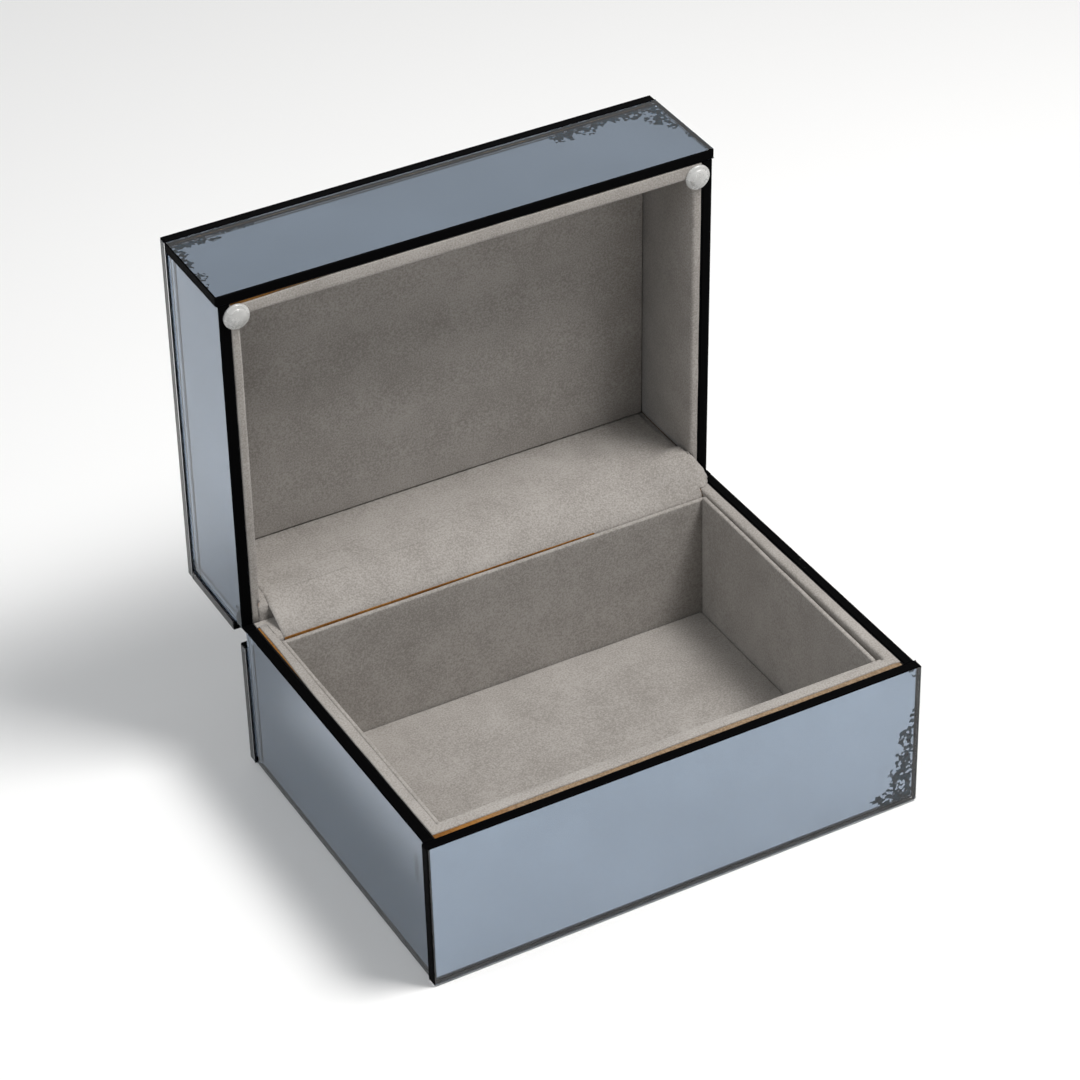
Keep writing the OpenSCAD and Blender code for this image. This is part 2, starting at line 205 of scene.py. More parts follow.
def fibreboard(name, shades, paint=(), dust=False):
    """Raw fibreboard. paint is (axis, limit) pairs: past any of those distances from the middle of the
    box, the board is painted near black, as painted shade for the narrow groove between the mirrors'
    rims and the cloth. With dust, it is orange only at the left end."""
    n = Net(bpy.data.materials.new(name))
    at = n.spot()
    fleck = n.noise(at, 1100, 4.0, 0.7)
    wide = n.noise(at, 60, 3.0, 0.5)
    tone = n.math("ADD", n.math("MULTIPLY", fleck, 0.55), n.math("MULTIPLY", wide, 0.45))
    colour = n.mix(n.ease(tone, 0.35, 0.65), *shades)
    xyz = n.add("SeparateXYZ", {0: at}).outputs
    if dust:
        grey = n.mix(n.ease(fleck, 0.3, 0.7), (0.17, 0.118, 0.07), (0.33, 0.25, 0.17))
        colour = n.mix(n.ease(xyz[0], -82 * MM, -55 * MM, 0.0, 0.85), colour, grey)
    for axis, limit in paint:
        stray = n.math("MULTIPLY", n.math("SUBTRACT", wide, 0.5), 0.5 * MM)
        edge = n.math("ADD", n.math("ABSOLUTE", xyz[axis]), stray)
        # painted shade: near black past the limit, for the shaded groove between a mirror's rim and the cloth
        colour = n.mix(n.ease(edge, limit - 0.1 * MM, limit + 0.1 * MM), colour, (0.0018, 0.0018, 0.002))
    return n.surface(Base__Color=colour, Roughness=n.ease(fleck, 0.2, 0.8, 0.72, 0.9),
                     Specular__IOR__Level=0.25, Normal=n.bump(fleck, 0.4, 0.0002))


def clear_glass():
    n = Net(bpy.data.materials.new("clear_glass"))
    at = n.spot()
    smear = n.noise(at, 55, 3.0, 0.6)
    return n.surface(Base__Color=(0.965, 0.985, 0.99, 1), Roughness=n.ease(smear, 0.45, 0.8, 0.0, 0.02),
                     IOR=1.52, Transmission__Weight=1.0)


def black_edge(worn_at, reach):
    """The mirrors' painted rims: near black, with small chips, most of them within reach of worn_at."""
    n = Net(bpy.data.materials.new("black_edge"))
    at = n.spot()
    far = n.add("VectorMath", {0: at, 1: worn_at}, operation="DISTANCE").outputs["Value"]
    close = n.ease(far, 0.4 * reach, reach, 1.0, 0.0)
    flaky = n.math("ADD", n.noise(at, 420, 5.0, 0.75, 0.4), n.math("MULTIPLY", close, 0.11))
    chip = n.ease(flaky, 0.735, 0.76)
    where = n.math("MAXIMUM", n.ease(n.noise(at, 28, 1.0, 0.4), 0.6, 0.68), close)
    worn = n.math("MULTIPLY", chip, where)
    grit = n.noise(at, 900, 3.0, 0.6)
    colour = n.mix(worn, (0.0016, 0.0016, 0.0018), (0.30, 0.29, 0.27))
    return n.surface(Base__Color=colour, Roughness=n.ease(grit, 0.3, 0.7, 0.45, 0.65),
                     Specular__IOR__Level=0.012, Normal=n.bump(grit, 0.15, 0.0001))


def silvering(name, tint, size, spots, margin, smear=None):
    """The back coat of a mirror. UVs are millimetres from the plate's low corner. spots are places
    (u, v, radius along u, radius along v) where the silver has crept away in round cells; margin is
    (left, right, low, high) left bare. smear is one soft dull place, given as a spot is."""
    n = Net(bpy.data.materials.new(name))
    uv = n.add("TexCoord").outputs["UV"]
    shift = n.add("TexNoise", {"Vector": uv, "Scale": 0.7, "Detail": 2.0}).outputs["Color"]
    shift = n.add("VectorMath", {0: shift, 1: (0.5, 0.5, 0.5)}, operation="SUBTRACT").outputs[0]
    bent = n.add("VectorMath", {0: shift, 1: (0.9, 0.9, 0.0), 2: uv}, operation="MULTIPLY_ADD").outputs[0]
    cell = n.add("TexVoronoi", {"Vector": bent, "Scale": 0.95, "Randomness": 1.0}, voronoi_dimensions="2D")
    middle = cell.outputs["Position"]
    chance = n.add("SeparateXYZ", {0: cell.outputs["Color"]}).outputs[0]
    cell_at = n.add("SeparateXYZ", {0: middle}).outputs[:2]
    near = None
    for place in spots:
        one = n.math("SUBTRACT", 1.0, n.math("SQRT", n.ellipse(*cell_at, place)))
        near = one if near is None else n.math("MAXIMUM", near, one)
    lost = 0.0
    if spots:
        drift = n.math("SUBTRACT", n.noise(middle, 0.3, 2.0), 0.5)
        field = n.math("ADD", near, n.math("MULTIPLY", drift, 1.5))
        field = n.math("SUBTRACT", field, n.math("MULTIPLY", n.ease(chance, 0.68, 0.70), 0.75))
        blob = n.ease(cell.outputs["Distance"], 0.78, 0.9, 1.0, 0.0)
        lost = n.math("MULTIPLY", n.ease(field, 0.0, 0.04), blob)
    # bare margins along the edges, a little ragged
    u, v = n.add("SeparateXYZ", {0: uv}).outputs[:2]
    rag = n.math("MULTIPLY", n.math("SUBTRACT", n.noise(uv, 0.5, 3.0), 0.5), 0.7)
    sides = [n.math("SUBTRACT", u, margin[0]), n.math("SUBTRACT", size[0] - margin[1], u),
             n.math("SUBTRACT", v, margin[2]), n.math("SUBTRACT", size[1] - margin[3], v)]
    inside = sides[0]
    for one in sides[1:]:
        inside = n.math("MINIMUM", inside, one)
    bare = n.ease(n.math("ADD", inside, rag), -0.05, 0.12, 1.0, 0.0)
    haze = n.noise(uv, 0.02, 3.0, 0.5)
    coat = n.mix(n.ease(haze, 0.3, 0.7), [c * 0.95 for c in tint], [c * 1.04 for c in tint])
    if smear:
        away = n.math("ADD", n.ellipse(u, v, smear), n.noise(uv, 0.9, 3.0, 0.6))
        coat = n.mix(n.ease(away, 0.4, 1.5, 0.45, 0.0), coat, (0.045, 0.06, 0.075))
    fine = n.noise(uv, 0.75, 4.0, 0.6, 0.8)
    paint = n.mix(n.ease(fine, 0.4, 0.62), (0.001, 0.009, 0.020), (0.010, 0.036, 0.060))
    colour = n.mix(lost, coat, paint)
    colour = n.mix(bare, colour, (0.003, 0.0025, 0.004))
    off = n.math("MAXIMUM", lost, bare)
    return n.surface(Base__Color=colour, Metallic=n.math("SUBTRACT", 1.0, off, clamp=True),
                     Roughness=n.ease(off, 0.0, 1.0, 0.035, 0.5), Specular__IOR__Level=0.05)


def metal(name, dull, bright, rough):
    n = Net(bpy.data.materials.new(name))
    at = n.spot()
    scuff = n.noise(at, 700, 4.0, 0.65, 0.3)
    wide = n.noise(at, 120, 2.0)
    colour = n.mix(n.ease(wide, 0.3, 0.7), dull, bright)
    return n.surface(Base__Color=colour, Metallic=1.0, Roughness=n.ease(scuff, 0.3, 0.7, rough, rough + 0.14),
                     Normal=n.bump(scuff, 0.12, 0.0001))


def felt():
    n = Net(bpy.data.materials.new("felt"))
    at = n.spot()
    fuzz = n.noise(at, 1700, 4.0, 0.7, 0.6)
    colour = n.mix(n.ease(fuzz, 0.3, 0.7), (0.006, 0.006, 0.007), (0.03, 0.03, 0.033))
    return n.surface(Base__Color=colour, Roughness=0.95, Specular__IOR__Level=0.1, Sheen__Weight=0.3,
                     Normal=n.bump(fuzz, 0.6, 0.0004))


def soft_plastic():
    n = Net(bpy.data.materials.new("clear_bumper"))
    at = n.spot()
    cloud = n.noise(at, 260, 3.0, 0.6)
    colour = n.mix(n.ease(cloud, 0.3, 0.7), (0.60, 0.60, 0.585), (0.67, 0.67, 0.66))
    return n.surface(Base__Color=colour, Roughness=n.ease(cloud, 0.3, 0.7, 0.2, 0.32), IOR=1.48,
                     Transmission__Weight=0.3, Coat__Weight=0.4, Coat__Roughness=0.12,
                     Normal=n.bump(cloud, 0.04, 0.0002))


SUEDE = suede("suede", (0.245, 0.226, 0.207), (0.405, 0.381, 0.358))
# fibreboard's darker and lighter shade, on faces and on cut edges
RAW = (0.17, 0.075, 0.016), (0.42, 0.25, 0.105)
DEEP = (0.15, 0.056, 0.008), (0.32, 0.15, 0.035)
glass_lo, glass_hi = shut_box("base_mirror_right")
# distances from the middle of the box where the boards' painted shade begins: sides, base's front, lid's front
shade_from_x, shade_from_y = glass_lo.x - 0.75 * MM, -shut_box("base_board_front")[0].y - 0.5 * MM
shade_from_z = (OPENED @ (shut_box("lid_board_front")[0] + Vector((0, 0.5 * MM, 0)))).z
BOARD = fibreboard("fibreboard", RAW)
EDGE_BOARD = fibreboard("fibreboard_dark", DEEP)
BASE_BOARD = fibreboard("fibreboard_base", DEEP, ((0, shade_from_x), (1, shade_from_y)), True)
LID_BOARD = fibreboard("fibreboard_lid", DEEP, ((0, shade_from_x), (2, shade_from_z)), True)
GLASS = clear_glass()
RIM = black_edge((glass_lo.x + 1.2 * MM, 2 * MM, glass_hi.z), 11 * MM)
BRASS = metal("brass", (0.50, 0.36, 0.15), (0.72, 0.55, 0.27), 0.22)
STEEL = metal("steel", (0.42, 0.42, 0.43), (0.6, 0.6, 0.61), 0.25)
FELT = felt()
BUMPER = soft_plastic()
TINT = (0.246, 0.297, 0.371)


# ---------------------------------------------------------------- dressing the CAD nodes


def dress(node, *materials):
    """Gives a CAD node these materials in place of its own."""
    mesh = frame["nodes"][node].data
    mesh.materials.clear()
    for m in materials:
        mesh.materials.append(m)


for node in frame["nodes"]:
    if "board" in node:
        rimmed = node.endswith(("left", "right", "front"))
        dress(node, BOARD if not rimmed else BASE_BOARD if node.startswith("base") else LID_BOARD)
    elif "screws" in node or "leaves" in node:
        dress(node, BRASS)
dress("hinge_pins", STEEL)
dress("base_felt", FELT)


# ---------------------------------------------------------------- building pieces


def bridge(bm, rows):
    """Faces between rows of vertices, each row open at its ends."""
    for r0, r1 in zip(rows, rows[1:]):
        for i in range(len(r0) - 1):
            bm.faces.new((r0[i], r0[i + 1], r1[i + 1], r1[i]))


def tube(bm, rings):
    """Faces between closed rings of vertices, with a face over each end."""
    for r0, r1 in zip(rings, rings[1:]):
        for i in range(len(r0)):
            j = (i + 1) % len(r0)
            bm.faces.new((r0[i], r1[i], r1[j], r0[j]))
    bm.faces.new(rings[0])
    bm.faces.new(rings[-1])


def piece(name, bm, material, body, pose=STILL, shaded_smooth=True):
    """Turns a bmesh built with the lid shut into a piece that rides on a body."""
    bmesh.ops.transform(bm, matrix=pose, verts=bm.verts)
    bmesh.ops.recalc_face_normals(bm, faces=bm.faces)
    mesh = bpy.data.meshes.new(name)
    bm.to_mesh(mesh)
    bm.free()
    mesh.materials.append(material)
    for p in mesh.polygons:
        p.use_smooth = shaded_smooth
    obj = bpy.data.objects.new(name, mesh)
    scene.collection.objects.link(obj)
    if body:
        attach(obj, body)
    return obj


def ticks(lo, hi, r, pitch, arc=4):
    """Places along one side of a rounded block: close together in the round, even between."""
    bend = [r - r * math.tan(math.pi / 4 * (1 - i / arc)) for i in range(arc)]
    steps = max(1, round((hi - lo - 2 * r) / pitch))
    middle = [lo + r + (hi - lo - 2 * r) * i / steps for i in range(steps + 1)]
    return [lo + b for b in bend] + middle + [hi - b for b in reversed(bend)]


def soft_block(lo, hi, r, pitch, wobble=0.0, swell=(0, 0, 0), seed=0.0):
    """A cloth-covered block with round edges. wobble moves its surface a little; swell crowns the
    high faces by that much along each axis."""
    lo, hi = Vector(lo), Vector(hi)
    r = min(r, min(hi - lo) * 0.499)
    grid = [ticks(lo[i], hi[i], r, pitch) for i in range(3)]
    count = [len(g) for g in grid]
    bm = bmesh.new()
    made = {}

    def vertex(key):
        if key not in made:
            p = Vector([grid[i][key[i]] for i in range(3)])
            core = Vector([min(max(p[i], lo[i] + r), hi[i] - r) for i in range(3)])
            d = p - core
            if d.length > 1e-9:
                p = core + d.normalized() * r
            share = [(p[i] - lo[i]) / (hi[i] - lo[i]) * 2 - 1 for i in range(3)]
            for i in range(3):
                if swell[i]:
                    j, k = [a for a in range(3) if a != i]
                    bow = (1 - share[j] ** 6) * (1 - share[k] ** 6)
                    p[i] += swell[i] * bow * max(0.0, share[i] if swell[i] > 0 else -share[i])
            if wobble:
                p += wobble * noise.noise_vector((p + Vector((seed, 0, 0))) / 0.021)
            made[key] = bm.verts.new(p)
        return made[key]

    for axis in range(3):
        j, k = [a for a in range(3) if a != axis]
        for end in (0, count[axis] - 1):
            for a in range(count[j] - 1):
                for b in range(count[k] - 1):
                    ring = []
                    for da, db in ((0, 0), (1, 0), (1, 1), (0, 1)):
                        key = [0, 0, 0]
                        key[axis], key[j], key[k] = end, a + da, b + db
                        ring.append(vertex(tuple(key)))
                    bm.faces.new(ring)
    return bm


def lipped(stations, widths, top, board, deep, cloth, r_in, r_out, wobble, seed=0.0):
    """Cloth turned over a rim. stations are (inner point, outer point, how much of the depth) along
    the rim; top is the rim's height, board the height of the wood under the cloth, deep where the
    cloth ends inside."""
    up = 1 if top > board else -1
    arc = [i / 5 * math.pi / 2 for i in range(6)]
    section = [("out", 0.0, board)]
    section += [("out", r_out * (1 - math.cos(a)), top - up * r_out * (1 - math.sin(a))) for a in arc]
    section += [("mid", 0.5, top)]
    section += [("in", r_in * (1 - math.sin(a)), top - up * r_in * (1 - math.cos(a))) for a in arc]
    section += [("in", 0.0, deep), ("in", cloth, deep), ("in", cloth, board)]
    bm = bmesh.new()
    rings = []
    for (a, b, depth), width in zip(stations, widths):
        a, b = Vector(a).to_2d(), Vector(b).to_2d()
        ring = []
        for side, off, z in section:
            f = {"in": off / width, "out": 1 - off / width, "mid": 0.5}[side]
            xy = a.lerp(b, f)
            if side == "in" and z == deep:
                z = board - up * 0.00005 + (deep - board) * depth
            p = Vector((xy.x, xy.y, z))
            key = Vector((xy.x, xy.y, seed))
            if z != board or side == "out":
                push = noise.noise_vector(key / 0.017) + 0.5 * noise.noise_vector(key / 0.005)
                p += Vector((push.x, push.y, 0.6 * push.z if z != board else 0.0)) * wobble
            ring.append(bm.verts.new(p))
        rings.append(ring)
    tube(bm, rings)
    return bm


def leg(start, end, pitch):
    """Stations evenly spaced from one (inner, outer, depth) to another, without the last."""
    steps = max(1, round((Vector(end[0]) - Vector(start[0])).length / pitch))
    out = []
    for i in range(steps):
        out.append(tuple(Vector(start[k]).lerp(Vector(end[k]), i / steps) for k in (0, 1)) + (start[2],))
    return out


def clamp(value):
    """The value, held from 0 to 1."""
    return min(max(value, 0.0), 1.0)


def smooth(t):
    """Eases a share from 0 to 1 in and out."""
    return t * t * (3 - 2 * t)


# ---------------------------------------------------------------- mirrors: glass plates, silver behind

# node: (axis across the glass, side the room is on, axis along u, axis along v)
PLATES = {
    "base_mirror_front": (1, -1, 0, 2), "base_mirror_back": (1, 1, 0, 2),
    "base_mirror_left": (0, -1, 1, 2), "base_mirror_right": (0, 1, 1, 2),
    "lid_mirror_front": (1, -1, 0, 2), "lid_mirror_back": (1, 1, 0, 2),
    "lid_mirror_left": (0, -1, 1, 2), "lid_mirror_right": (0, 1, 1, 2),
    "lid_mirror_top": (2, 1, 0, 1),
}
# where the silver has crept away: (u, v, radius along u, radius along v) in millimetres
SPOTS = {
    "base_mirror_front": [(199, 38, 2, 4), (197, 29, 4, 5), (196, 20, 5, 6), (196, 11, 7, 7),
                          (193, 4, 11, 4.5), (199, 58, 3.5, 2.5), (5, 61, 6, 1.6), (14, 61, 6, 1.2)],
    "base_mirror_right": [(136, 5, 9, 4), (139, 20, 3, 12)],
    "base_mirror_back": [(4, 50, 9, 5), (197, 5, 7, 6)],
    "lid_mirror_front": [(158, 37.5, 6, 4), (166, 38.5, 8, 4.2), (176, 40, 9, 3.2), (188, 39.5, 9, 3.8),
                         (196, 35, 6, 9), (199, 27, 4.5, 5), (200, 15, 2.4, 4), (200, 6, 1.8, 3),
                         (6, 39.5, 11, 2.4), (14, 38, 6, 1.6), (25, 40.5, 9, 1.4), (1.5, 34, 3, 4),
                         (1.5, 27, 2, 4), (2.5, 17, 2.4, 3), (1.5, 11, 1.8, 2)],
    "lid_mirror_left": [(138, 3, 6, 4)],
    "lid_mirror_right": [(3, 38, 7, 5)],
    "lid_mirror_back": [(197, 36, 12, 4)],
    "lid_mirror_top": [(3, 4, 18, 6), (196, 144, 22, 7), (198, 122, 4, 16)],
}
# bare margins (left, right, low, high) and a dull smear, in millimetres too
MARGIN = {"base_mirror_front": (2.0, 1.0, 0.5, 0.3), "lid_mirror_front": (0.8, 0.8, 0.2, 1.3),
          "base_mirror_left": (3.0, 0.2, 0.4, 0.3), "lid_mirror_left": (0.4, 0.2, 0.3, 0.3)}
EVEN = (0.6, 0.6, 0.5, 0.4)
SMEAR = {"base_mirror_left": (8.5, 44.0, 2.4, 9.0)}
# the coat's gap from the glass's back face, its thickness and its distance from the plate's edges
COAT_IN, COAT_T, COAT_EDGE = 0.03 * MM, 0.03 * MM, 0.04 * MM


def coat_sheet(node, lo, size, back):
    """A thin closed sheet behind a plate, with UVs in millimetres from the plate's low corner."""
    across, side, along_u, along_v = PLATES[node]
    us = [lo[along_u] + COAT_EDGE + (size[0] - 2 * COAT_EDGE) * i / 24 for i in range(25)]
    vs = [lo[along_v] + COAT_EDGE + (size[1] - 2 * COAT_EDGE) * i / 12 for i in range(13)]
    bm = bmesh.new()
    uv = bm.loops.layers.uv.new("mm")
    layers = []
    for depth in (0, side * COAT_T):
        rows = []
        for v in vs:
            row = []
            for u in us:
                p = [0, 0, 0]
                p[across], p[along_u], p[along_v] = back + depth, u, v
                row.append(bm.verts.new(p))
            rows.append(row)
        bridge(bm, rows)
        layers.append(rows)
    # the sheet's four edges
    a, b = layers
    for j in (0, -1):
        bridge(bm, (a[j], b[j]))
        bridge(bm, ([row[j] for row in a], [row[j] for row in b]))
    for f in bm.faces:
        for loop in f.loops:
            co = loop.vert.co
            loop[uv].uv = ((co[along_u] - lo[along_u]) / MM, (co[along_v] - lo[along_v]) / MM)
    return bm


for node, (across, side, along_u, along_v) in PLATES.items():
    rim = 1 if node.startswith("base") else -1
    turn = pose_of(node).inverted().to_3x3()
    dress(node, GLASS, RIM)
    for p in frame["nodes"][node].data.polygons:
        way = turn @ p.normal
        black = way.y < -0.5 if node == "lid_mirror_top" else way.z * rim > 0.5
        if black or (node.endswith("front") and way.x < -0.5):
            p.material_index = 1
    lo, hi = shut_box(node)
    width, height = hi[along_u] - lo[along_u], hi[along_v] - lo[along_v]
    back = lo[across] + COAT_IN if side > 0 else hi[across] - COAT_IN
    coat_mat = silvering(node + "_silver", TINT, (width / MM, height / MM), SPOTS.get(node, ()),
                         MARGIN.get(node, EVEN), SMEAR.get(node))
    bm = coat_sheet(node, lo, (width, height), back)
    piece(node.replace("mirror", "silver"), bm, coat_mat, carrier(node), pose_of(node),
          shaded_smooth=False)

# ---------------------------------------------------------------- base lining

wrap_lo, wrap_hi = shut_box("base_rim_wrap")
card_lo, card_hi = shut_box("base_card_front")
board_top = shut_box("base_board_front")[1].z
cloth = wrap_hi.z - board_top
in_x, in_y = card_hi.x, card_lo.y
out_x, out_y = wrap_hi.x - 0.05 * MM, wrap_lo.y
side_w, front_w = out_x - in_x, in_y - out_y


def rim_out(x):
    """How far out the cloth reaches along the front rim."""
    return out_y + (0.2 + 0.16 * math.sin(x * 90)) * MM


def rim_left(y):
    """How far out the cloth reaches along the left rim: less and less toward the hinges."""
    return -out_x + 1.0 * MM * smooth(clamp((y - 20 * MM) / (40 * MM)))


# stations run from the left rear corner along the left, the front and the right
corner = [((side * in_x, in_y, 0), (side * out_x, out_y, 0), 1) for side in (-1, 1)]
rear = [((side * in_x, wrap_hi.y, 0), (side * out_x, wrap_hi.y, 0), 1) for side in (-1, 1)]
pitch = 2.5 * MM
stations = [(a, Vector((rim_left(b.y), b.y, 0)), d) for a, b, d in leg(rear[0], corner[0], pitch)]
widths = [side_w] * len(stations)
front = leg(corner[0], corner[1], pitch)
stations += [(a, Vector((b.x, rim_out(b.x), 0)), d) for a, b, d in front]
widths += [(side_w + front_w) / 2] + [front_w] * (len(front) - 1)
right = leg(corner[1], rear[1], pitch)
stations += right + [rear[1]]
widths += [(side_w + front_w) / 2] + [side_w] * len(right)
bm = lipped(stations, widths, top=wrap_hi.z, board=board_top, deep=wrap_lo.z, cloth=cloth,
            r_in=1.1 * MM, r_out=0.45 * MM, wobble=0.13 * MM)
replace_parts(piece("base_rim_cloth", bm, SUEDE, "base"), "base_rim_wrap")

for i, node in enumerate(("base_card_front", "base_card_back", "base_card_left")):
    lo, hi = shut_box(node)
    bm = soft_block(lo, hi, 0.75 * MM, 4 * MM, wobble=0.12 * MM, seed=i * 1.7)
    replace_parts(piece(node + "_cloth", bm, SUEDE, "base"), node)

# the right card stands askew: its rear end is further out than its front end
lo, hi = shut_box("base_card_right")
straight_lo, straight_hi = shut_box("base_card_left")
card_t = straight_hi.x - straight_lo.x
askew = (hi.x - lo.x - card_t) / (hi.y - lo.y)
bm = soft_block(lo, (lo.x + card_t, hi.y, hi.z), 0.75 * MM, 4 * MM, wobble=0.12 * MM, seed=5.1)
for vert in bm.verts:
    vert.co.x += askew * (vert.co.y - lo.y)
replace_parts(piece("base_card_right_cloth", bm, SUEDE, "base"), "base_card_right")

lo, hi = shut_box("base_floor_pad")
narrow = askew * (hi.y - lo.y)
bm = soft_block(lo, hi - Vector((narrow, 0, 0)), 0.9 * MM, 4 * MM, wobble=0.14 * MM, swell=(0, 0, 0.35 * MM),
                seed=9.0)
for vert in bm.verts:
    across = (vert.co.x - lo.x) / (hi.x - narrow - lo.x)
    vert.co.x += askew * (vert.co.y - lo.y) * across
pad = piece("base_floor_pad_cloth", bm, SUEDE, "base")
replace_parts(pad, "base_floor_pad")

# ---------------------------------------------------------------- hinge line: black strip of painted shade and end cloths


def strap(name, xs, path, thick, body, pose=STILL):
    """A narrow strip of cloth between xs, along a path of (y, z) points."""
    bm = bmesh.new()
    rows = []
    for p, q in zip(path, path[1:] + [None]):
        for i in range(5 if q else 1):
            y, z = (p[k] + ((q[k] - p[k]) * i / 5 if q else 0.0) for k in (0, 1))
            row = []
            for c in range(9):
                x = xs[0] + (xs[1] - xs[0]) * c / 8
                push = 0.06 * MM * noise.noise(Vector((x, y, z)) / 0.004)
                row.append(bm.verts.new((x, y + push, z + push)))
            rows.append(row)
    bridge(bm, rows)
    bmesh.ops.recalc_face_normals(bm, faces=bm.faces)
    bmesh.ops.solidify(bm, geom=bm.faces[:], thickness=thick)
    return piece(name, bm, SUEDE, body, pose)


# a black strip carries the side mirrors' rims back to the lid's rims: painted shade for the dark gap at the
# hinge line
lid_rim_y = (OPENED @ Vector((0, glass_hi.y, shut_box("lid_mirror_right")[0].z))).y - 0.1 * MM
for side, name in ((-1, "left"), (1, "right")):
    xs = sorted((side * (glass_lo.x - 0.3 * MM), side * glass_hi.x))
    bm = soft_block((xs[0], glass_hi.y - 0.15 * MM, glass_hi.z - 0.9 * MM),
                    (xs[1], lid_rim_y, glass_hi.z - 0.02 * MM), 0.2 * MM, 1.5 * MM)
    piece(f"hinge_gap_shade_{name}", bm, RIM, "base")

# cloth on the back boards' ends, under and beside the strip
back_lo, back_hi = shut_box("base_board_back")
lid_back = shut_box("lid_board_back")[0]
lid_card = shut_box("lid_card_back")[0]
lining_x = shut_box("lid_lining_right")[0].x
strip_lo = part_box("hinge_strip")[0]
strip_end = strip_lo.x - 1.0 * MM
bevel = 1.8 * MM
# where these cloths begin, out from the middle: on the base clear of the hinge leaves, on the lid further out
BASE_FROM = {"left": 66 * MM, "right": 72 * MM}
LID_FROM = 84 * MM
for side, name in ((-1, "left"), (1, "right")):
    inner = BASE_FROM[name]
    xs = sorted((side * inner, side * (in_x + 0.3 * MM)))
    bm = soft_block((xs[0], back_lo.y + 3.6 * MM, back_hi.z + 0.01 * MM),
                    (xs[1], back_hi.y, wrap_hi.z - 0.03 * MM), 0.2 * MM, 3 * MM)
    piece(f"back_rim_cloth_{name}", bm, SUEDE, "base")
    xs = sorted((side * (inner + 3 * MM), side * (glass_lo.x - 0.6 * MM)))
    bm = soft_block((xs[0], back_hi.y - 0.2 * MM, back_hi.z - 0.6 * MM),
                    (xs[1], lid_rim_y - 0.1 * MM, wrap_hi.z - 0.04 * MM), 0.25 * MM, 3 * MM, wobble=0.05 * MM)
    piece(f"back_flap_cloth_{name}", bm, SUEDE, "base")
    xs = sorted((side * LID_FROM, side * (lining_x + 0.9 * MM)))
    y, z = lid_back.y, lid_back.z
    path = [(back_hi.y - 0.4 * MM, z - 0.35 * MM), (y + 1.3 * MM, z - 0.35 * MM),
            (y - 0.1 * MM, z + 0.3 * MM), (y - 0.35 * MM, z + 1.4 * MM),
            (y - 0.35 * MM, lid_card.z - 0.1 * MM)]
    strap(f"lid_back_cloth_{name}", xs, path, 0.3 * MM, "lid", OPENED)
# at the left, past the strip's end, the cloth runs on over the lid card's low edge
y, z = lid_back.y, lid_back.z
path = [(back_hi.y - 0.4 * MM, z - 0.4 * MM), (y + 1.4 * MM, z - 0.4 * MM), (y - 0.2 * MM, z + 0.1 * MM),
        (y - 1.5 * MM, z + 2.2 * MM), (lid_card.y - 0.1 * MM, z + 4.0 * MM),
        (lid_card.y - 0.3 * MM, z + 7.5 * MM)]
strap("lid_back_corner_cloth", (-in_x - 1.7 * MM, strip_end - 0.15 * MM), path, 0.25 * MM, "lid", OPENED)
y, z = back_lo.y, back_hi.z
path = [(y + 4.2 * MM, z + 0.42 * MM), (y + bevel + 0.6 * MM, z + 0.42 * MM), (y + bevel - 0.5 * MM, z),
        (y - 0.1 * MM, z - bevel + 0.3 * MM), (y - 0.35 * MM, z - bevel - 0.6 * MM)]
strap("base_back_cloth_left", (-in_x - 0.3 * MM, strip_end - 0.1 * MM), path, 0.35 * MM, "base")

# raw board shows between the back card and the strip, most of all at the left
card_back = shut_box("base_card_back")[1]
bm = bmesh.new()
rings = []
a, b = card_back.y + 0.02 * MM, card_back.y + 0.3 * MM
low = card_back.z - 0.9 * MM
SEEN = 130 * MM
for i in range(41):
    t = i / 40
    x = strip_end + 0.2 * MM + SEEN * t
    tall = (0.5 * (1 - t) ** 0.8 + 0.06) * MM
    high = card_back.z + tall + 0.1 * MM * noise.noise(Vector((x / 0.006, 0, 0)))
    rings.append([bm.verts.new((x, *c)) for c in ((a, low), (b, low), (b, high + 0.1 * MM), (a, high))])
tube(bm, rings)
piece("back_board_raw_edge", bm, EDGE_BOARD, "base", shaded_smooth=False)

# ---------------------------------------------------------------- lid lining

front_lo, front_hi = shut_box("lid_lining_front")
side_lo, side_hi = shut_box("lid_lining_right")
lid_rim, under = front_lo.z, front_hi.z
lid_board = shut_box("lid_board_front")[0].z
skin = lid_board - lid_rim
lin_x, lin_y = side_lo.x, front_hi.y
lout_x, lout_y = side_hi.x, front_lo.y
back_y = lid_card.y - cloth
lw_side, lw_front = lout_x - lin_x, lin_y - lout_y
mean = (lw_side + lw_front) / 2
hinge_end = side_hi.y
shared = dict(top=lid_rim, board=lid_board, deep=under, cloth=skin, r_in=1.2 * MM, r_out=0.5 * MM,
              wobble=0.12 * MM)
corner = [((side * lin_x, lin_y, 0), (side * lout_x, lout_y, 0), 1) for side in (-1, 1)]
stations = leg(corner[0], corner[1], pitch) + [corner[1]]
